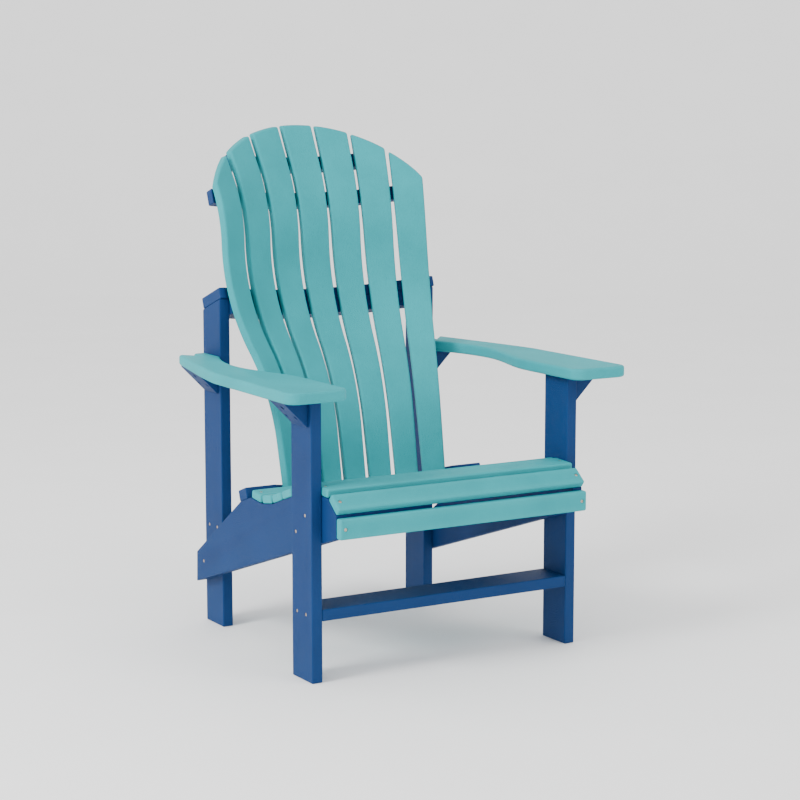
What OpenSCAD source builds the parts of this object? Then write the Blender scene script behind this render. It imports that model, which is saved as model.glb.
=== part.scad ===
// Adirondack chair in poly lumber: fan back of curved slats on a bolted board frame.
// The chair faces -Y, and left and right are the sitter's: left is +X.
// Boards are laid out from the front faces of the front legs (y = 0) and moved to the
// middle of the chair's depth by centred().

/* [Boards] */
// Thickness of the frame boards and the arms
board_t = 25.4; // [24:0.1:27]
// Thickness of the seat and back slats
slat_t = 19.05; // [18:0.05:20]
// Width of the legs and posts, and of the two stretchers
leg_w = 88.9; // [80:0.1:90]

/* [Seat] */
// Width of the chair over the outer faces of the side boards
seat_w = 620; // [600:1:640]
// Width of the seat slats, the apron and the nose slat
seat_slat_w = 44.5; // [43:0.5:46]
// Width of the wider slat at the front edge of the seat
front_slat_w = 63.5; // [60:0.5:66]
// Gap between neighbouring seat slats
seat_gap = 3.4; // [3:0.1:4]
// Height of the seat boards under the front slat
seat_h = 399.6; // [396:0.1:402]
// Overhang of the side boards in front of the legs
side_nose = 60; // [56:1:62]

/* [Arms] */
// Height of the top of the arms
arm_top = 634.2; // [625:0.1:640]
// Distance from the middle of the chair to the outer edge of the arms
arm_out = 424; // [415:1:430]
// Overhang of the arms in front of the legs
arm_nose = 74; // [70:1:78]
// Length of the two equal sides of the brackets under the arms
bracket = 62; // [56:1:64]
// Length of the brackets from front to back
bracket_l = 67; // [60:1:70]

/* [Rear frame] */
// Distance from the front of the legs to the front of the rear posts
post_y = 528.1; // [524:0.1:532]
// Slope of the back rails, lower at the rear
rail_tilt = 20; // [19:0.5:21]
// Depth of the lower and middle back rails along their slope
rail_d = 97; // [94:1:100]
// Depth of the brace under the middle rail, behind the back slats
brace_d = 44; // [40:1:46]
// Thickness of that brace
brace_t = 36; // [32:1:38]
// Depth of the two upper rails behind the back slats
upper_d = 25.4; // [24:0.1:27]
// Thickness of the two upper rails
upper_t = 34; // [32:1:38]

/* [Back] */
// Angle between neighbouring back slats around the curve of the back
slat_fan = 9.27; // [9.2:0.01:9.3]
// Width of a back slat at seat height
slat_w0 = 53.5; // [52:0.5:55]
// Growth in a slat's width per millimetre of its length
slat_taper = 0.0284; // [0.027:0.0001:0.03]
// Lean of a slat towards the middle, per slat from the middle, per millimetre
slat_skew = 0.024; // [0.023:0.0005:0.025]
// Lean of the foot of the back
foot_lean = 10.6; // [10:0.1:11]
// Height of the top of the arched back
back_top = 1150; // [1130:1:1160]
// Half the width of the arch
arch_w = 296; // [290:1:300]
// Height of the curved part of the arch
arch_h = 200; // [190:1:210]

/* [Screws] */
// Diameter of the screw heads
head_d = 8; // [6:0.5:9]
// Length of the screws
screw_l = 45; // [42:1:46]
// Length of the shorter screws in the back slats
back_screw_l = 38; // [36:0.5:38]

/* [Hidden] */

AQUA = [0.42, 0.72, 0.74];
BLUE = [0.19, 0.37, 0.59];
STEEL = [0.62, 0.58, 0.55];

side_x = seat_w / 2;              // outer face of the side boards, inner face of the legs
leg_x = side_x + board_t;         // outer face of the legs
post_x = side_x - board_t;        // outer face of the rear posts
arm_z = arm_top - board_t;        // underside of the arms
screw_x = side_x - board_t / 2;   // screws that go down into the side boards
head_h = 2.5;
shank_d = 4.2;
pocket_l = 60;                    // open space over the sunk screw heads
long_pocket = 90;

// Back slats stand round an upright barrel: its axis, and its radius at their feet.
barrel_y = 9.8;
barrel_r = 392.1;
foot_z = 345;                     // height at which the slat length is counted from 0
foot_below = 45;                  // slat length below that, behind the seat

// A station on the front of a back slat: [distance outwards, height, lean, length so far].
// bend() moves a station along a stretch of a given length that turns by a given angle.
function bend(p, run, turn) =
    abs(turn) < 0.01
        ? [p[0] + run * sin(p[2]), p[1] + run * cos(p[2]), p[2], p[3] + run]
        : let (r = run * 180 / (turn * PI), lean = p[2] + turn)
            [p[0] + r * (cos(p[2]) - cos(lean)), p[1] + r * (sin(lean) - sin(p[2])), lean, p[3] + run];
STRETCHES = [[109.3, 0], [224.9, 24.1], [246, -30.65], [179.4, 23.7], [140, 0]];
STEPS = 9;
foot = bend([0, foot_z, foot_lean, 0], -foot_below, 0);
function knee(k) =
    k == 0 ? [0, foot_z, foot_lean, 0]
           : bend(knee(k - 1), STRETCHES[k - 1][0], STRETCHES[k - 1][1]);
KNEES = [for (k = [0:4]) knee(k)];
STATIONS = concat([foot], [
    for (k = [0:4], j = [(k == 0 ? 0 : 1):(STRETCHES[k][1] == 0 ? 1 : STEPS)])
        let (t = STRETCHES[k][1] == 0 ? j : j / STEPS)
        bend(KNEES[k], STRETCHES[k][0] * t, STRETCHES[k][1] * t)
]);
function stretch_at(s, k = 0) = k == 4 || s < KNEES[k + 1][3] ? k : stretch_at(s, k + 1);
function station(s) =
    let (k = stretch_at(s), t = (s - KNEES[k][3]) / STRETCHES[k][0])
    bend(KNEES[k], STRETCHES[k][0] * t, STRETCHES[k][1] * t);
function slat_w(s) = slat_w0 + slat_taper * s;

// Depth of the whole chair, from the apron to the tips of the back slats
top_lean = KNEES[4][2];
tip_n = KNEES[4][0] + (back_top - KNEES[4][1]) * tan(top_lean) + slat_t / cos(top_lean);
chair_front = -side_nose - slat_t;
chair_rear = barrel_y + barrel_r + tip_n;
mid_y = (chair_front + chair_rear) / 2;

// Seat slats, front to back: their tilt, rising to the rear where positive.
SEAT_TILTS = [2.5, -13, -17.5, -18.5, -19.5, -9.5, 6];
SEAT_FRONT = [-22.5, seat_h];
function dir(a) = [cos(a), sin(a)];
function seat_w_of(i) = i == 0 ? front_slat_w : seat_slat_w;
function seat_start(i) =
    i == 0 ? SEAT_FRONT
           : let (fold = SEAT_TILTS[i] - SEAT_TILTS[i - 1])
                seat_end(i - 1) + (seat_gap + max(0, slat_t * sin(fold))) * dir(SEAT_TILTS[i] - fold / 2);
function seat_end(i) = seat_start(i) + seat_w_of(i) * dir(SEAT_TILTS[i]);

// Side boards: the edges that the slats don't set, as [y, z]
NOSE_LOW = [-side_nose, 369.5];
nose_fall = SEAT_FRONT - NOSE_LOW;
nose_tilt = atan2(nose_fall[1], nose_fall[0]);
apron_z = 320;
SIDE_HEEL = [[613, 167], [615, 96]];

// Back rails, each by the top of its front edge at its ends, [y, z], and its thickness;
// each curved front edge is an arc, [centre y, radius], in the plane of its rail.
LOWER_AT = [356, 361];
LOWER_ARC = [-338.5, 411.8];
MID_AT = [531, 791.5];
MID_ARC = [-580.4, 640.5];
TOP_AT = [630.5, 995];
TOP_ARC = [-690.8, 695.3];
CLEAT_AT = [669, 1078];
CLEAT_ARC = [-747.7, 752];
cleat_tilt = 26;
top_x = 277;
cleat_x = 203;
lower_end_d = 38;                 // depth of the lower rail where it sits on the side boards
lower_wide_x = 250;               // half width of its full depth

module centred() { translate([0, -mid_y, 0]) children(); }

// A flat outline given in y and z, made into a board between two x positions
module upright(x0, x1) { translate([x0, 0, 0]) rotate([90, 0, 90]) linear_extrude(x1 - x0) children(); }

// The frame of a sloping rail: x across, y down its slope to the rear, top face at z = 0
module sloped(at, tilt) { translate([0, at[0], at[1]]) rotate([-tilt, 0, 0]) children(); }

module disc(arc, grow = 0) { translate([0, arc[0]]) circle(r = arc[1] + grow, $fn = 240); }

// ---- screws: the head's top is at z = 0, and the shank points down
module screw(l = screw_l, pocket = 0) {
    translate([0, 0, -head_h]) cylinder(d = head_d, h = head_h + pocket, $fn = 24);
    translate([0, 0, -l]) cylinder(d = shank_d, h = l - head_h, $fn = 16);
}

// Shapes are drawn for the left: side 1 keeps them there, and side -1 mirrors them
module both_sides() { for (side = [-1, 1]) on_side(side) children(); }
module on_side(side) { if (side < 0) mirror([1, 0, 0]) children(); else children(); }

// Screws that go sideways through an outer face at x, at [y, z] places
module sideways(x, places) {
    both_sides() for (p = places) translate([x, p[0], p[1]]) rotate([0, 90, 0]) children();
}
LEG_PLACES = [[30, 357], [71, 316]];
STRETCHER_PLACES = [[28, 145], [67, 145]];
POST_PLACES = [[577, 151]];
REAR_PLACES = [[556, 232], [596, 232]];
module leg_places() { sideways(leg_x, LEG_PLACES) children(); }
module front_stretcher_places() { sideways(leg_x, STRETCHER_PLACES) children(); }
module rear_stretcher_places() { sideways(post_x, REAR_PLACES) children(); }
module post_places() { sideways(side_x, POST_PLACES) children(); }
module apron_places() {
    both_sides() translate([screw_x, -side_nose - slat_t, apron_z + seat_slat_w / 2])
        rotate([90, 0, 0]) children();
}
module nose_frame() { translate([0, NOSE_LOW[0], NOSE_LOW[1]]) rotate([nose_tilt, 0, 0]) children(); }
nose_drop = 2.6;                  // how far the nose slat sits below the middle of its edge
nose_y = (norm(nose_fall) - seat_slat_w) / 2 - nose_drop;
module nose_places() {
    both_sides() nose_frame() translate([screw_x, nose_y + seat_slat_w / 2, slat_t]) children();
}
module seat_frame(i) {
    let (p = seat_start(i)) translate([0, p[0], p[1]]) rotate([SEAT_TILTS[i], 0, 0]) children();
}
module seat_place(i) {
    both_sides() seat_frame(i) translate([screw_x, seat_w_of(i) / 2, slat_t]) children();
}
module lower_rail_places() {
    both_sides() sloped(LOWER_AT, rail_tilt) translate([screw_x, lower_end_d / 2, 0]) children();
}
MID_SCREW_YS = [22, 72];          // screws of the middle rail, down into each rear post
module mid_rail_places() {
    both_sides() for (y = MID_SCREW_YS) sloped(MID_AT, rail_tilt)
        translate([post_x - board_t / 2, y, 0]) children();
}
BRACE_XS = [40, 205];
module brace_places() {
    both_sides() for (x = BRACE_XS) sloped(MID_AT, rail_tilt)
        translate([x, MID_ARC[0] + sqrt(pow(MID_ARC[1] + brace_d / 2, 2) - x * x), -board_t - brace_t])
        rotate([180, 0, 0]) children();
}

// Where a slat's back crosses the middle of a rail: found by halving along the slat
function back_of(p) = [p[0] + slat_t * cos(p[2]), p[1] - slat_t * sin(p[2])];
function above_rail(i, s, at, tilt, mid) =
    let (q = back_of(station(s)), m = -slat_skew * i * s,
         y = barrel_y + (barrel_r + q[0]) * cos(slat_fan * i) - m * sin(slat_fan * i))
    (y - at[0]) * sin(tilt) + (q[1] - at[1]) * cos(tilt) + mid;
function crossing(i, at, tilt, mid, lo = -foot_below, hi = 870, n = 14) =
    n == 0 ? (lo + hi) / 2
           : let (s = (lo + hi) / 2)
                above_rail(i, s, at, tilt, mid) > 0 ? crossing(i, at, tilt, mid, lo, s, n - 1)
                                                    : crossing(i, at, tilt, mid, s, hi, n - 1);
screw_bite = 14;                  // how far a screw goes into a back slat
BACK_RAILS = [
    [LOWER_AT, rail_tilt, board_t / 2, 3], [MID_AT, rail_tilt, board_t + brace_t / 2, 3],
    [TOP_AT, rail_tilt, upper_t / 2, 3], [CLEAT_AT, cleat_tilt, upper_t / 2, 2]
];
module slat_frame(i) { translate([0, barrel_y, 0]) rotate([0, 0, -slat_fan * i]) children(); }
module back_place(i, rail) {
    let (r = BACK_RAILS[rail], s = crossing(i, r[0], r[1], r[2]), q = back_of(station(s)))
        slat_frame(i) translate([-slat_skew * i * s, barrel_r + q[0], q[1]])
            rotate([-90 - r[1], 0, 0]) translate([0, 0, back_screw_l - screw_bite]) children();
}
module rail_back_places(rail) {
    for (i = [-BACK_RAILS[rail][3]:BACK_RAILS[rail][3]]) back_place(i, rail) children();
}

// Screws of a bracket, in its own frame: x out from the wood it stands on, z down from the arm
bracket_in = 22;                  // distance of its screws from its square corner
bracket_apart = 20;               // distance of the arm's screws from the bracket's middle
function bracket_x(front) = front ? leg_x : post_x;
function bracket_y(front) = front ? leg_w / 2 : post_y + leg_w / 2;
module bracket_places(side, front) {
    on_side(side) translate([bracket_x(front), bracket_y(front), arm_z]) {
        for (y = [-bracket_apart, bracket_apart])
            translate([bracket_in, y, -bracket_in]) rotate([180, 0, 0]) children();
        translate([bracket_in, 0, -bracket_in]) rotate([0, 90, 0]) children();
    }
}
module all_bracket_places() {
    for (side = [-1, 1], front = [true, false]) bracket_places(side, front) children();
}

// ---- frame
module front_leg(side) {
    color(BLUE) centred() difference() {
        on_side(side) translate([side_x, 0, 0]) cube([board_t, leg_w, arm_z]);
        leg_places() screw();
        front_stretcher_places() screw();
        bracket_places(side, true) screw();
    }
}
module front_leg_left() { front_leg(1); }
module front_leg_right() { front_leg(-1); }

// Height of the underside of the middle rail at a distance y from the leg fronts
function rail_under(y) = MID_AT[1] - board_t / cos(rail_tilt) - (y - MID_AT[0]) * tan(rail_tilt);
module rear_post(side) {
    rear = post_y + leg_w;
    color(BLUE) centred() difference() {
        on_side(side) upright(post_x - board_t, post_x)
            polygon([[post_y, 0], [rear, 0], [rear, rail_under(rear)], [post_y, rail_under(post_y)]]);
        post_places() screw();
        rear_stretcher_places() screw();
        mid_rail_places() screw();
        bracket_places(side, false) screw();
    }
}
module rear_post_left() { rear_post(1); }
module rear_post_right() { rear_post(-1); }

// Height of the underside of the lower rail at a distance y from the leg fronts
function lower_under(y) = LOWER_AT[1] - board_t / cos(rail_tilt) - (y - LOWER_AT[0]) * tan(rail_tilt);
lower_seat_y = 336;               // where the side boards drop behind the seat
lower_rear_y = LOWER_AT[0] + lower_end_d * cos(rail_tilt) - board_t * sin(rail_tilt);
module side_board(side) {
    color(BLUE) centred() difference() {
        on_side(side) upright(post_x, side_x)
            polygon(concat(
                [[-side_nose, apron_z], NOSE_LOW],
                [for (i = [0:6], end = [0, 1]) end == 0 ? seat_start(i) : seat_end(i)],
                [[lower_seat_y, lower_under(lower_seat_y)], [lower_rear_y, lower_under(lower_rear_y)]],
                SIDE_HEEL));
        leg_places() screw();
        post_places() screw();
        apron_places() screw();
        nose_places() screw();
        for (i = [0:6]) seat_place(i) screw();
        lower_rail_places() screw();
    }
}
module side_board_left() { side_board(1); }
module side_board_right() { side_board(-1); }

module front_stretcher() {
    color(BLUE) centred() difference() {
        translate([-side_x, 0, STRETCHER_PLACES[0][1] - board_t / 2]) cube([seat_w, leg_w, board_t]);
        front_stretcher_places() screw();
    }
}
module rear_stretcher() {
    half = post_x - board_t;
    color(BLUE) centred() difference() {
        translate([-half, post_y, REAR_PLACES[0][1] - board_t / 2]) cube([2 * half, leg_w, board_t]);
        rear_stretcher_places() screw();
    }
}

// ---- seat
module seat_apron() {
    color(AQUA) centred() difference() {
        translate([-side_x, -side_nose - slat_t, apron_z]) cube([seat_w, slat_t, seat_slat_w]);
        apron_places() screw();
    }
}
module nose_slat() {
    color(AQUA) centred() difference() {
        nose_frame() translate([-side_x, nose_y, 0]) cube([seat_w, seat_slat_w, slat_t]);
        nose_places() screw();
    }
}
module seat_slat(i) {
    color(AQUA) centred() difference() {
        seat_frame(i - 1) translate([-side_x, 0, 0]) cube([seat_w, seat_w_of(i - 1), slat_t]);
        seat_place(i - 1) screw();
    }
}

// ---- back
module slat_side() {
    polygon(concat(
        [for (p = STATIONS) [p[0], p[1]]],
        [for (k = [len(STATIONS) - 1:-1:0]) back_of(STATIONS[k])]));
}
module slat_face(i) {
    low = 60;                     // the outline starts below the slat, so the foot stays whole
    polygon(concat(
        [[-slat_w(0) / 2, foot_z - low]],
        [for (p = STATIONS) [-slat_skew * i * p[3] - slat_w(p[3]) / 2, p[1]]],
        [for (k = [len(STATIONS) - 1:-1:0]) let (p = STATIONS[k])
            [-slat_skew * i * p[3] + slat_w(p[3]) / 2, p[1]]],
        [[slat_w(0) / 2, foot_z - low]]));
}
module arch() {
    spring = back_top - arch_h;
    polygon(concat(
        [[arch_w, foot_z - 100]],
        [for (a = [0:3:180]) [arch_w * cos(a), spring + arch_h * sin(a)]],
        [[-arch_w, foot_z - 100]]));
}
module from_front(reach) { translate([0, reach, 0]) rotate([90, 0, 0]) linear_extrude(reach) children(); }

past_chair = 900;                 // a reach that goes right through the back
module back_slat(n) {
    i = n - 4;
    half = 130;                   // wider than any slat with its skew
    color(AQUA) centred() difference() {
        intersection() {
            slat_frame(i) intersection() {
                translate([0, barrel_r, 0]) upright(-half, half) slat_side();
                from_front(past_chair) slat_face(i);
            }
            from_front(past_chair) arch();
        }
        for (rail = [0:3]) if (abs(i) <= BACK_RAILS[rail][3]) back_place(i, rail) screw(back_screw_l);
    }
}

module lower_back_rail() {
    color(BLUE) centred() difference() {
        sloped(LOWER_AT, rail_tilt) translate([0, 0, -board_t]) linear_extrude(board_t) difference() {
            polygon([
                [-side_x, 0], [side_x, 0], [side_x, lower_end_d], [lower_wide_x, rail_d],
                [-lower_wide_x, rail_d], [-side_x, lower_end_d]
            ]);
            disc(LOWER_ARC);
        }
        lower_rail_places() screw();
        rail_back_places(0) screw(back_screw_l, pocket = long_pocket);
    }
}
module mid_back_rail() {
    color(BLUE) centred() difference() {
        sloped(MID_AT, rail_tilt) translate([0, 0, -board_t]) linear_extrude(board_t) difference() {
            translate([-post_x, 0]) square([2 * post_x, rail_d]);
            disc(MID_ARC);
        }
        mid_rail_places() screw();
        brace_places() screw();
    }
}
// A curved strip behind the slats: a ring between two arcs, cut off at its ends
module curved_rail(at, tilt, arc, half_x, below, thick, deep) {
    sloped(at, tilt) translate([0, 0, -below - thick]) linear_extrude(thick) intersection() {
        difference() {
            disc(arc, deep);
            disc(arc);
        }
        translate([-half_x, -half_x]) square([2 * half_x, 2 * half_x]);
    }
}
module mid_back_brace() {
    color(BLUE) centred() difference() {
        curved_rail(MID_AT, rail_tilt, MID_ARC, post_x - board_t, board_t, brace_t, brace_d);
        brace_places() screw();
        rail_back_places(1) screw(back_screw_l, pocket = pocket_l);
    }
}
module top_back_rail() {
    color(BLUE) centred() difference() {
        curved_rail(TOP_AT, rail_tilt, TOP_ARC, top_x, 0, upper_t, upper_d);
        rail_back_places(2) screw(back_screw_l, pocket = pocket_l);
    }
}
module upper_back_cleat() {
    color(BLUE) centred() difference() {
        curved_rail(CLEAT_AT, cleat_tilt, CLEAT_ARC, cleat_x, 0, upper_t, upper_d);
        rail_back_places(3) screw(back_screw_l, pocket = pocket_l);
    }
}

// ---- arms
arm_rear = 608;                   // y of the arms' rear ends
arm_rear_x = 351;                 // outer edge there
arm_in_x = 281;                   // inner edge at the front legs
arm_wide_y = 290;                 // where the outer edge starts to draw in
arm_belly_y = 355;                // where the inner edge bows furthest out
arm_belly_x = 325;
arm_bow_y = 120;                  // where that bow starts
corner_r = 28;
arm_heel = 30;                    // width of the square piece beside the rear post
// Points round a corner's quarter circle, from an angle
function corner(x, y, from) =
    [for (a = [0:15:90]) [x + corner_r * cos(from + a), y + corner_r * sin(from + a)]];
function mixed(a, b, t) = a + (b - a) * t;
module arm_outline() {
    wide_x = arm_out - 6;
    polygon(concat(
        corner(arm_in_x + corner_r, corner_r - arm_nose, 180),
        corner(arm_out - corner_r, corner_r - arm_nose, 270),
        [for (t = [0:0.1:1]) [mixed(wide_x, arm_rear_x, pow(t, 1.15)), mixed(arm_wide_y, arm_rear, t)]],
        [for (t = [0:0.1:1]) [mixed(post_x, arm_belly_x, 1 - pow(1 - t, 2)), mixed(post_y, arm_belly_y, t)]],
        [for (t = [0.1:0.1:1])
            [mixed(arm_belly_x, arm_in_x, (1 - cos(180 * t)) / 2), mixed(arm_belly_y, arm_bow_y, t)]]));
}
module arm(side) {
    color(AQUA) centred() difference() {
        on_side(side) translate([0, 0, arm_z]) linear_extrude(board_t) union() {
            arm_outline();
            translate([post_x, post_y]) square([arm_heel, arm_rear - post_y]);
        }
        for (front = [true, false]) bracket_places(side, front) screw();
    }
}
module arm_left() { arm(1); }
module arm_right() { arm(-1); }

module bracket_of(side, front) {
    tip = 3;                      // width of its two blunt ends
    color(BLUE) centred() difference() {
        on_side(side) translate([bracket_x(front), bracket_y(front) + bracket_l / 2, arm_z])
            rotate([90, 0, 0]) linear_extrude(bracket_l)
                polygon([[0, 0], [bracket, 0], [bracket, -tip], [tip, -bracket], [0, -bracket]]);
        bracket_places(side, front) screw(pocket = pocket_l);
    }
}
module front_bracket_left() { bracket_of(1, true); }
module front_bracket_right() { bracket_of(-1, true); }
module rear_bracket_left() { bracket_of(1, false); }
module rear_bracket_right() { bracket_of(-1, false); }

// ---- fasteners, one group for each kind of joint
module leg_screws() { color(STEEL) centred() leg_places() screw(); }
module stretcher_screws() {
    color(STEEL) centred() {
        front_stretcher_places() screw();
        rear_stretcher_places() screw();
    }
}
module post_screws() { color(STEEL) centred() post_places() screw(); }
module front_slat_screws() {
    color(STEEL) centred() {
        apron_places() screw();
        nose_places() screw();
    }
}
module seat_screws() { color(STEEL) centred() for (i = [0:6]) seat_place(i) screw(); }
module rail_screws() {
    color(STEEL) centred() {
        lower_rail_places() screw();
        mid_rail_places() screw();
        brace_places() screw();
    }
}
module back_screws() { color(STEEL) centred() for (rail = [0:3]) rail_back_places(rail) screw(back_screw_l); }
module bracket_screws() { color(STEEL) centred() all_bracket_places() screw(); }

front_leg_left();
front_leg_right();
rear_post_left();
rear_post_right();
side_board_left();
side_board_right();
front_stretcher();
rear_stretcher();
seat_apron();
nose_slat();
seat_slat(1);  // seat_slat_1
seat_slat(2);  // seat_slat_2
seat_slat(3);  // seat_slat_3
seat_slat(4);  // seat_slat_4
seat_slat(5);  // seat_slat_5
seat_slat(6);  // seat_slat_6
seat_slat(7);  // seat_slat_7
back_slat(1);  // back_slat_1
back_slat(2);  // back_slat_2
back_slat(3);  // back_slat_3
back_slat(4);  // back_slat_4
back_slat(5);  // back_slat_5
back_slat(6);  // back_slat_6
back_slat(7);  // back_slat_7
lower_back_rail();
mid_back_rail();
mid_back_brace();
top_back_rail();
upper_back_cleat();
arm_left();
arm_right();
front_bracket_left();
front_bracket_right();
rear_bracket_left();
rear_bracket_right();
leg_screws();
stretcher_screws();
post_screws();
front_slat_screws();
seat_screws();
rail_screws();
back_screws();
bracket_screws();
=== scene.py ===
"""Adirondack chair: its looks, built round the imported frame.

Boards are traced from the CAD nodes and rebuilt with rounded edges, the back slats follow
the same curve as the CAD's, and the screws get domed heads with a square drive.
"""
import math

import bmesh
import bpy
import numpy as np
from mathutils import Euler, Matrix, Vector


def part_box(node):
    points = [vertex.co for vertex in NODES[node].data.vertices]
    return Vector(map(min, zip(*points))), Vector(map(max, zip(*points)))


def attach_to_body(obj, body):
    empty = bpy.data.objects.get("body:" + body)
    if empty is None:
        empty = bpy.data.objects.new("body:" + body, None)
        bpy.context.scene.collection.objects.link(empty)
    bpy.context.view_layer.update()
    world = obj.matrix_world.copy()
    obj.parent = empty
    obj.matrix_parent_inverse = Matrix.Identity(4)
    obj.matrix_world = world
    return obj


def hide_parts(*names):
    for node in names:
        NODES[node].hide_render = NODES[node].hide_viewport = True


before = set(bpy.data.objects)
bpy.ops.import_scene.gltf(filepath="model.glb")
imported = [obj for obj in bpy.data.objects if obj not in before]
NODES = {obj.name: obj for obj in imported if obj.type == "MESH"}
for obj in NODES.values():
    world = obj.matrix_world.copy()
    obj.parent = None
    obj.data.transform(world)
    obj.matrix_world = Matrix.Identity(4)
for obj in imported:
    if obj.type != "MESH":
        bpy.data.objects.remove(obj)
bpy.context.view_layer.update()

MM = 0.001
TINY = 1e-5

SEAT_SLATS = [f"seat_slat_{k}" for k in range(1, 8)]
RAILS = ["lower_back_rail", "mid_back_rail", "mid_back_brace", "top_back_rail"]
CLEAT = "upper_back_cleat"
BRACKETS = [f"{end}_bracket_{side}" for end in ("front", "rear") for side in ("left", "right")]
ARMS = ["arm_left", "arm_right"]
STRETCHERS = ["front_stretcher", "rear_stretcher"]
LEGS_AND_POSTS = ["front_leg_left", "front_leg_right", "rear_post_left", "rear_post_right"]
SIDE_BOARDS = ["side_board_left", "side_board_right"]
SCREWS = [
    "leg_screws", "stretcher_screws", "post_screws", "front_slat_screws",
    "seat_screws", "rail_screws", "back_screws", "bracket_screws",
]
# Nodes whose screws stand at the bottom of a pocket
POCKETED = set(BRACKETS + RAILS + [CLEAT]) - {"mid_back_rail"}

RAIL_TILT = math.radians(20)
CLEAT_TILT = math.radians(26)

# Radii of the boards' rounded edges
FRAME_EDGE = 2.6 * MM
SIDE_EDGE = 2.0 * MM
SLAT_EDGE = 4.6 * MM
ARM_EDGE = 6.0 * MM
SHORTEST_RUN = 1.5 * MM
SHORTEST_SIDE_RUN = 4 * MM

# Screws and the recesses that they stand in
HEAD_R = 3.7 * MM
HEAD_DEPTH = 2.5 * MM
RECESS_R = 4.3 * MM
RECESS_DEPTH = 2.9 * MM
RECESS_SIDES = 28
CLEAR_OF_FACE = 6 * MM
POCKET_LENGTH = 90 * MM
SHANK_R = 2.0 * MM
HEAD_SIDES = 32
DRIVE_HALF = 1.25 * MM
DRIVE_FLOOR_HALF = 1.1 * MM
DRIVE_LIP = -0.1 * MM
DRIVE_FLOOR = -1.7 * MM
SPIN_STEP = 0.73

# ---- the back slats' curve, as in the CAD: millimetres and degrees
BARREL_Y = 9.8
BARREL_R = 392.1
FOOT_Z = 345
FOOT_BELOW = 45
FOOT_LEAN = 10.6
STRETCHES = [(109.3, 0), (224.9, 24.1), (246, -30.65), (179.4, 23.7), (140, 0)]
SLAT_T = 19.05
SLAT_W = 53.5
SLAT_TAPER = 0.0284
SLAT_SKEW = 0.024
SLAT_FAN = 9.27
BACK_TOP = 1150
ARCH_W = 296
ARCH_H = 200
RING_STEP = 12

# The CAD is laid out from the front faces of the front legs
LEG_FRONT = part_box("front_leg_left")[0].y

# ---- camera: beside and above the chair's front corner, in metres
CAMERA_YAW = math.radians(30.63)
CAMERA_PITCH = math.radians(8.57)
CAMERA_LENS = 98.73
CAMERA_PLACE = Vector((-2.4582, LEG_FRONT - 3.9473, 1.2806))
AIM = (0, 0, 0.5)


# ------------------------------------------------------------------ mesh helpers
def new_object(name, bm):
    mesh = bpy.data.meshes.new(name)
    bmesh.ops.recalc_face_normals(bm, faces=bm.faces)
    bm.to_mesh(mesh)
    bm.free()
    piece = bpy.data.objects.new(name, mesh)
    bpy.context.scene.collection.objects.link(piece)
    return piece


def bake_modifiers(piece):
    graph = bpy.context.evaluated_depsgraph_get()
    mesh = bpy.data.meshes.new_from_object(piece.evaluated_get(graph))
    piece.modifiers.clear()
    piece.data = mesh


def round_edges(piece, radius, segments=3):
    bevel = piece.modifiers.new("bevel", "BEVEL")
    bevel.width = radius
    bevel.segments = segments
    bevel.limit_method = "ANGLE"
    bevel.angle_limit = math.radians(32)
    bake_modifiers(piece)


def smooth(piece):
    piece.data.shade_smooth()
    piece.data.set_sharp_from_angle(angle=math.radians(35))
    weighted = piece.modifiers.new("weighted", "WEIGHTED_NORMAL")
    weighted.keep_sharp = True
    bake_modifiers(piece)


def attach(piece, node, material):
    piece.data.materials.clear()
    piece.data.materials.append(material)
    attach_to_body(piece, "root")
    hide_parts(node)


# ------------------------------------------------------------------ boards
def extrusion_axis(node):
    if node in RAILS:
        return Vector((0, math.sin(RAIL_TILT), math.cos(RAIL_TILT)))
    if node == CLEAT:
        return Vector((0, math.sin(CLEAT_TILT), math.cos(CLEAT_TILT)))
    if node in BRACKETS:
        return Vector((0, 1, 0))
    if node in ARMS + STRETCHERS:
        return Vector((0, 0, 1))
    return Vector((1, 0, 0))


def end_outline(node, axis):
    """The outer edge of a CAD board's flat end face, and the board's depth along axis."""
    bm = bmesh.new()
    bm.from_mesh(NODES[node].data)
    bmesh.ops.remove_doubles(bm, verts=bm.verts, dist=TINY)
    reach = [v.co.dot(axis) for v in bm.verts]
    high = max(reach)
    cap = {
        f for f in bm.faces
        if f.normal.dot(axis) > 0.999 and abs(f.calc_center_median().dot(axis) - high) < 10 * TINY
    }
    follow = {}
    for face in cap:
        for loop in face.loops:
            if all(other is face or other not in cap for other in loop.edge.link_faces):
                follow[loop.vert] = loop.link_loop_next.vert
    outline, largest = [], 0
    while follow:
        ring, vert = [], next(iter(follow))
        while vert in follow:
            ring.append(vert.co.copy())
            vert = follow.pop(vert)
        area = sum(ring[k - 1].cross(ring[k]).dot(axis) for k in range(len(ring)))
        if area > largest:
            outline, largest = ring, area
    bm.free()
    return outline, high - min(reach)


def simplified(ring, shortest):
    """The ring without points on straight runs, and with very short runs drawn together."""
    joined = []
    for point in ring:
        if joined and (point - joined[-1]).length < shortest:
            joined[-1] = (point + joined[-1]) / 2
        else:
            joined.append(point)
    if (joined[0] - joined[-1]).length < shortest:
        joined.pop()
    straight = math.cos(math.radians(0.4))
    kept = []
    for k, point in enumerate(joined):
        into = (point - joined[k - 1]).normalized()
        out = (joined[(k + 1) % len(joined)] - point).normalized()
        if into.dot(out) < straight:
            kept.append(point)
    return kept


def board(node, radius, shortest=SHORTEST_RUN):
    axis = extrusion_axis(node)
    outline, depth = end_outline(node, axis)
    bm = bmesh.new()
    face = bm.faces.new([bm.verts.new(p) for p in simplified(outline, shortest)])
    for item in bmesh.ops.extrude_face_region(bm, geom=[face])["geom"]:
        if isinstance(item, bmesh.types.BMVert):
            item.co -= axis * depth
    piece = new_object("round_" + node, bm)
    round_edges(piece, radius)
    return piece


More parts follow.
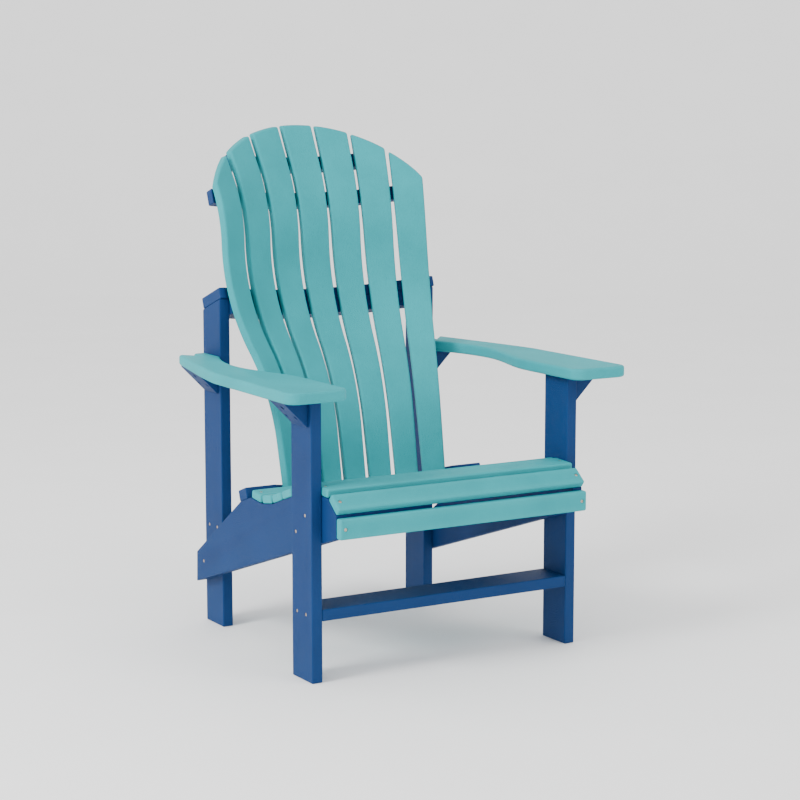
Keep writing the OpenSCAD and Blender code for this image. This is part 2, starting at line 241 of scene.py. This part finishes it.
# ------------------------------------------------------------------ back slats
def bend(place, run, turn):
    """A place on a slat's front, (distance out, height, lean), moved along an arc."""
    out, height, lean = place
    after = lean + math.radians(turn)
    if abs(turn) < 0.01:
        return (out + run * math.sin(lean), height + run * math.cos(lean), lean)
    r = run / math.radians(turn)
    return (out + r * (math.cos(lean) - math.cos(after)),
            height + r * (math.sin(after) - math.sin(lean)), after)


def station(s):
    place = (0, FOOT_Z, math.radians(FOOT_LEAN))
    if s <= 0:
        return bend(place, s, 0)
    for k, (run, turn) in enumerate(STRETCHES):
        if s <= run or k == len(STRETCHES) - 1:
            return bend(place, s, turn * s / run)
        place = bend(place, run, turn)
        s -= run


def slat_point(i, s, across, through):
    """Point of back slat i: across is -1 to 1 over its width, through 0 front to 1 back."""
    out, height, lean = station(s)
    out += through * SLAT_T * math.cos(lean)
    height -= through * SLAT_T * math.sin(lean)
    sideways = -SLAT_SKEW * i * s + across * (SLAT_W + SLAT_TAPER * s) / 2
    fan = math.radians(SLAT_FAN * i)
    x = (BARREL_R + out) * math.sin(fan) + sideways * math.cos(fan)
    y = BARREL_Y + (BARREL_R + out) * math.cos(fan) - sideways * math.sin(fan)
    return Vector((x * MM, LEG_FRONT + y * MM, height * MM))


def arch_height(x):
    share = min(1, abs(x) / (ARCH_W * MM))
    return (BACK_TOP - ARCH_H + ARCH_H * math.sqrt(1 - share * share)) * MM


def slat_end(i, across, through):
    """Length along slat i at which it meets the arch."""
    low, high = 600, 900
    for _ in range(24):
        s = (low + high) / 2
        point = slat_point(i, s, across, through)
        if point.z > arch_height(point.x):
            high = s
        else:
            low = s
    return (low + high) / 2


def back_slat(node, i):
    """A closed skin of rings round the slat, from its foot to its cut top."""
    columns = [-1, -0.6, -0.2, 0.2, 0.6, 1]
    rim = [(across, 0) for across in columns] + [(across, 1) for across in reversed(columns)]
    ends = [slat_end(i, across, through) for across, through in rim]
    rows = round((min(ends) + FOOT_BELOW) / RING_STEP)
    bm = bmesh.new()
    rings = []
    for row in range(rows + 1):
        share = row / rows
        ring = []
        for (across, through), end in zip(rim, ends):
            s = -FOOT_BELOW + share * (min(ends) + FOOT_BELOW)
            if row == rows:
                s = end
            ring.append(bm.verts.new(slat_point(i, s, across, through)))
        rings.append(ring)
    count = len(rim)
    for below, above in zip(rings, rings[1:]):
        for k in range(count):
            after = (k + 1) % count
            bm.faces.new((below[k], below[after], above[after], above[k]))
    for ring in (rings[0], rings[-1]):
        for k in range(len(columns) - 1):
            bm.faces.new((ring[k], ring[k + 1], ring[count - 2 - k], ring[count - 1 - k]))
    piece = new_object("round_" + node, bm)
    round_edges(piece, SLAT_EDGE, 4)
    return piece


# ------------------------------------------------------------------ screws
def islands(bm):
    waiting = set(bm.verts)
    while waiting:
        group, edge = [], [waiting.pop()]
        while edge:
            vert = edge.pop()
            group.append(vert.co.copy())
            for link in vert.link_edges:
                other = link.other_vert(vert)
                if other in waiting:
                    waiting.remove(other)
                    edge.append(other)
        yield np.array(group)


def screw_places(node):
    """(middle of the head's top, direction out of it, length) of each screw in a node."""
    bm = bmesh.new()
    bm.from_mesh(NODES[node].data)
    bmesh.ops.remove_doubles(bm, verts=bm.verts, dist=TINY)
    places = []
    for points in islands(bm):
        middle = points.mean(0)
        axis = np.linalg.svd(points - middle, full_matrices=False)[2][0]
        along = (points - middle) @ axis
        aside = np.linalg.norm(points - middle - np.outer(along, axis), axis=1)
        top, tip = along > along.max() - 10 * TINY, along < along.min() + 10 * TINY
        if aside[tip].max() > aside[top].max():
            axis, along = -axis, -along
        top_middle = Vector(middle + axis * along.max())
        places.append((top_middle, Vector(axis), along.max() - along.min()))
    bm.free()
    return places


def turned(place, direction, spin=0.0):
    turn = direction.to_track_quat("Z", "Y").to_matrix().to_4x4()
    return Matrix.Translation(place) @ turn @ Matrix.Rotation(spin, 4, "Z")


def add_tube(bm, at, profile, sides):
    """A closed turned shape; profile is [(radius, height)] from its tip to its crown."""
    rings = []
    for radius, height in profile:
        ring = []
        for k in range(sides):
            angle = 2 * math.pi * k / sides
            x, y = radius * math.cos(angle), radius * math.sin(angle)
            ring.append(bm.verts.new(at @ Vector((x, y, height))))
        rings.append(ring)
    for below, above in zip(rings, rings[1:]):
        for k in range(sides):
            after = (k + 1) % sides
            bm.faces.new((below[k], below[after], above[after], above[k]))
    bm.faces.new(list(reversed(rings[0])))
    return rings[-1]


def add_screw(bm, place, direction, length, spin):
    """A domed head with a square drive, and its shank."""
    at = turned(place, direction, spin)
    neck = -HEAD_DEPTH
    profile = [
        (SHANK_R * 0.2, -length), (SHANK_R, -length + 4 * MM), (SHANK_R, neck),
        (HEAD_R, neck), (HEAD_R, -1.1 * MM), (HEAD_R * 0.96, -0.75 * MM),
        (HEAD_R * 0.86, -0.45 * MM), (HEAD_R * 0.68, -0.22 * MM), (HEAD_R * 0.5, -0.12 * MM),
    ]
    crown = add_tube(bm, at, profile, HEAD_SIDES)

    def on_square(k, size, height):
        angle = 2 * math.pi * k / HEAD_SIDES
        reach = size / max(abs(math.cos(angle)), abs(math.sin(angle)))
        return bm.verts.new(at @ Vector((reach * math.cos(angle), reach * math.sin(angle), height)))

    lip = [on_square(k, DRIVE_HALF, DRIVE_LIP) for k in range(HEAD_SIDES)]
    well = [on_square(k, DRIVE_FLOOR_HALF, DRIVE_FLOOR) for k in range(HEAD_SIDES)]
    for outer, inner in ((crown, lip), (lip, well)):
        for k in range(HEAD_SIDES):
            after = (k + 1) % HEAD_SIDES
            bm.faces.new((outer[k], outer[after], inner[after], inner[k]))
    bm.faces.new(well)


def screw_group(node, places):
    bm = bmesh.new()
    for k, (place, direction, length) in enumerate(places):
        add_screw(bm, place, direction, length, spin=k * SPIN_STEP)
    piece = new_object("domed_" + node, bm)
    smooth(piece)
    return piece


def cutter(places, pocket):
    """One object with a recess, or a long pocket, for each screw head."""
    bm = bmesh.new()
    for place, direction, _ in places:
        at = turned(place, direction)
        top = POCKET_LENGTH if pocket else CLEAR_OF_FACE
        profile = [(RECESS_R, -RECESS_DEPTH), (RECESS_R, top)]
        bm.faces.new(add_tube(bm, at, profile, RECESS_SIDES))
    return new_object("cutter", bm)


def drill(piece, node, screws):
    """Cuts the recesses of the screws whose heads are in this board."""
    low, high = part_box(node)
    margin = Vector((MM, MM, MM))
    low, high = low - margin, high + margin
    near = []
    for place, direction, length in screws:
        if all(low[k] <= (place - direction * MM)[k] <= high[k] for k in range(3)):
            near.append((place, direction, length))
    if not near:
        return
    tool = cutter(near, node in POCKETED)
    cut = piece.modifiers.new("recesses", "BOOLEAN")
    cut.operation = "DIFFERENCE"
    cut.solver = "EXACT"
    cut.object = tool
    bake_modifiers(piece)
    bpy.data.objects.remove(tool)


# ------------------------------------------------------------------ materials
class Nodes:
    """Short names for building a material's node tree."""

    def __init__(self, name):
        self.material = bpy.data.materials.new(name)
        self.material.use_nodes = True
        self.tree = self.material.node_tree
        self.shader = self.tree.nodes["Principled BSDF"]
        self.place = self.tree.nodes.new("ShaderNodeTexCoord").outputs["Object"]

    def add(self, kind, **settings):
        node = self.tree.nodes.new(kind)
        for key, value in settings.items():
            setattr(node, key, value)
        return node

    def link(self, source, target):
        self.tree.links.new(source, target)

    def noise(self, scale, detail=2.0, roughness=0.5):
        node = self.add("ShaderNodeTexNoise")
        node.inputs["Scale"].default_value = scale
        node.inputs["Detail"].default_value = detail
        node.inputs["Roughness"].default_value = roughness
        self.link(self.place, node.inputs["Vector"])
        return node.outputs["Fac"]

    def ramp(self, value, stops):
        node = self.add("ShaderNodeValToRGB")
        elements = node.color_ramp.elements
        while len(elements) < len(stops):
            elements.new(0.5)
        for element, (at, colour) in zip(elements, stops):
            element.position = at
            element.color = colour
        self.link(value, node.inputs["Fac"])
        return node.outputs["Color"]

    def span(self, value, low, high, to_low, to_high):
        node = self.add("ShaderNodeMapRange")
        limits = {"From Min": low, "From Max": high, "To Min": to_low, "To Max": to_high}
        for name, number in limits.items():
            node.inputs[name].default_value = number
        self.link(value, node.inputs["Value"])
        return node.outputs["Result"]

    def bump(self, height, distance, strength=1.0, under=None):
        node = self.add("ShaderNodeBump")
        node.inputs["Distance"].default_value = distance
        node.inputs["Strength"].default_value = strength
        self.link(height, node.inputs["Height"])
        if under is not None:
            self.link(under, node.inputs["Normal"])
        return node.outputs["Normal"]


def grey(level):
    return (level, level, level, 1)


def scaled(colour, by):
    return tuple(min(1, c * by) for c in colour) + (1,)


def poly_lumber(name, colour, edge_highlight_colour):
    """Moulded plastic board: fine pebbled skin, soft drifts of tone, and a painted highlight that
    makes the rounded edges paler.
    """
    m = Nodes(name)
    pebbles = m.noise(430, 3, 0.6)
    fine = m.noise(1500, 2, 0.5)
    drift = m.noise(9, 3, 0.55)
    tone = m.ramp(drift, [(0.3, scaled(colour, 0.93)), (0.7, scaled(colour, 1.07))])
    # Painted highlight: the rounded edges are painted in a paler colour, standing in for light
    # catching them
    edge = m.add("ShaderNodeNewGeometry").outputs["Pointiness"]
    painted_edge_highlight = m.span(edge, 0.53, 0.62, 0.0, 0.4)
    mix = m.add("ShaderNodeMix", data_type="RGBA")
    m.link(painted_edge_highlight, mix.inputs["Factor"])
    m.link(tone, mix.inputs["A"])
    m.link(m.ramp(pebbles, [(0.3, scaled(edge_highlight_colour, 0.92)), (0.7, scaled(edge_highlight_colour, 1.05))]), mix.inputs["B"])
    speckle = m.add("ShaderNodeMix", data_type="RGBA", blend_type="MULTIPLY")
    speckle.inputs["Factor"].default_value = 1
    m.link(mix.outputs["Result"], speckle.inputs["A"])
    m.link(m.ramp(pebbles, [(0.32, grey(0.9)), (0.62, grey(1.0))]), speckle.inputs["B"])
    m.link(speckle.outputs["Result"], m.shader.inputs["Base Color"])
    m.link(m.span(pebbles, 0.3, 0.7, 0.5, 0.64), m.shader.inputs["Roughness"])
    skin = m.bump(pebbles, 2.0 * MM, 0.9)
    m.link(m.bump(fine, 0.3 * MM, 0.5, skin), m.shader.inputs["Normal"])
    m.shader.inputs["Specular IOR Level"].default_value = 0.16
    return m.material


def screw_steel():
    m = Nodes("satin_steel")
    grain = m.noise(1800, 3, 0.6)
    stain = m.noise(300, 2, 0.5)
    m.link(m.ramp(stain, [(0.3, (0.34, 0.27, 0.21, 1)), (0.7, (0.62, 0.54, 0.46, 1))]),
           m.shader.inputs["Base Color"])
    m.link(m.span(grain, 0.3, 0.7, 0.32, 0.5), m.shader.inputs["Roughness"])
    m.link(m.bump(grain, 0.06 * MM, 0.5), m.shader.inputs["Normal"])
    m.shader.inputs["Metallic"].default_value = 1
    return m.material


# The second colour of each board is the painted highlight of its rounded edges
AQUA = poly_lumber("aqua_lumber", colour=(0.017, 0.32, 0.355), edge_highlight_colour=(0.07, 0.5, 0.54))
BLUE = poly_lumber("blue_lumber", colour=(0.002, 0.03, 0.125), edge_highlight_colour=(0.012, 0.09, 0.26))
STEEL = screw_steel()

# ------------------------------------------------------------------ the chair
screws = {node: screw_places(node) for node in SCREWS}
every_screw = [screw for node in SCREWS for screw in screws[node]]


def build(node, piece, material):
    drill(piece, node, every_screw)
    smooth(piece)
    attach(piece, node, material)


for name in LEGS_AND_POSTS:
    build(name, board(name, FRAME_EDGE), BLUE)
for name in SIDE_BOARDS:
    build(name, board(name, SIDE_EDGE, SHORTEST_SIDE_RUN), BLUE)
for name in STRETCHERS + RAILS + [CLEAT] + BRACKETS:
    build(name, board(name, FRAME_EDGE), BLUE)
for name in ["seat_apron", "nose_slat"] + SEAT_SLATS:
    build(name, board(name, SLAT_EDGE), AQUA)
for name in ARMS:
    build(name, board(name, ARM_EDGE), AQUA)
for number in range(1, 8):
    name = f"back_slat_{number}"
    build(name, back_slat(name, number - 4), AQUA)
for name in SCREWS:
    attach(screw_group(name, screws[name]), name, STEEL)


# ------------------------------------------------------------------ floor, light, camera
def floor():
    """A pale sweep that rises behind the chair."""
    bm = bmesh.new()
    near, bend_at, bend_r, top, half = -14, 7, 3, 12, 16
    profile = [(near, 0), (bend_at, 0)]
    for degrees in range(10, 91, 10):
        angle = math.radians(degrees)
        profile.append((bend_at + bend_r * math.sin(angle), bend_r - bend_r * math.cos(angle)))
    profile.append((bend_at + bend_r, top))
    rows = [[bm.verts.new((x, y, z)) for x in (-half, half)] for y, z in profile]
    for front, behind in zip(rows, rows[1:]):
        bm.faces.new((front[0], front[1], behind[1], behind[0]))
    sheet = new_object("floor", bm)
    sheet.data.shade_smooth()
    sheet.rotation_euler = Euler((0, 0, -CAMERA_YAW))
    m = Nodes("pale_floor")
    m.link(m.ramp(m.noise(3), [(0.3, grey(0.93)), (0.7, grey(0.95))]), m.shader.inputs["Base Color"])
    m.link(m.span(m.noise(40), 0.3, 0.7, 0.7, 0.8), m.shader.inputs["Roughness"])
    sheet.data.materials.append(m.material)


def area_light(name, place, size, power):
    """A soft round light that looks at the middle of the chair."""
    data = bpy.data.lights.new(name, "AREA")
    data.shape = "DISK"
    data.size = size
    data.energy = power
    lamp = bpy.data.objects.new(name, data)
    lamp.location = place
    lamp.rotation_euler = (Vector(AIM) - Vector(place)).to_track_quat("-Z", "Y").to_euler()
    bpy.context.scene.collection.objects.link(lamp)


def world_light(level):
    world = bpy.data.worlds.new("studio")
    bpy.context.scene.world = world
    world.use_nodes = True
    world.node_tree.nodes["Background"].inputs["Color"].default_value = grey(1)
    world.node_tree.nodes["Background"].inputs["Strength"].default_value = level


floor()
world_light(1.5)
area_light("key", (-4.4, -0.6, 3.4), size=2.0, power=260)
area_light("fill", (2.5, -4.5, 3.5), size=3.0, power=60)

lens = bpy.data.cameras.new("camera")
lens.lens = CAMERA_LENS
lens.sensor_width = 36
lens.clip_end = 100
camera = bpy.data.objects.new("camera", lens)
camera.location = CAMERA_PLACE
camera.rotation_euler = Euler((math.pi / 2 - CAMERA_PITCH, 0, -CAMERA_YAW))
bpy.context.scene.collection.objects.link(camera)
bpy.context.scene.camera = camera
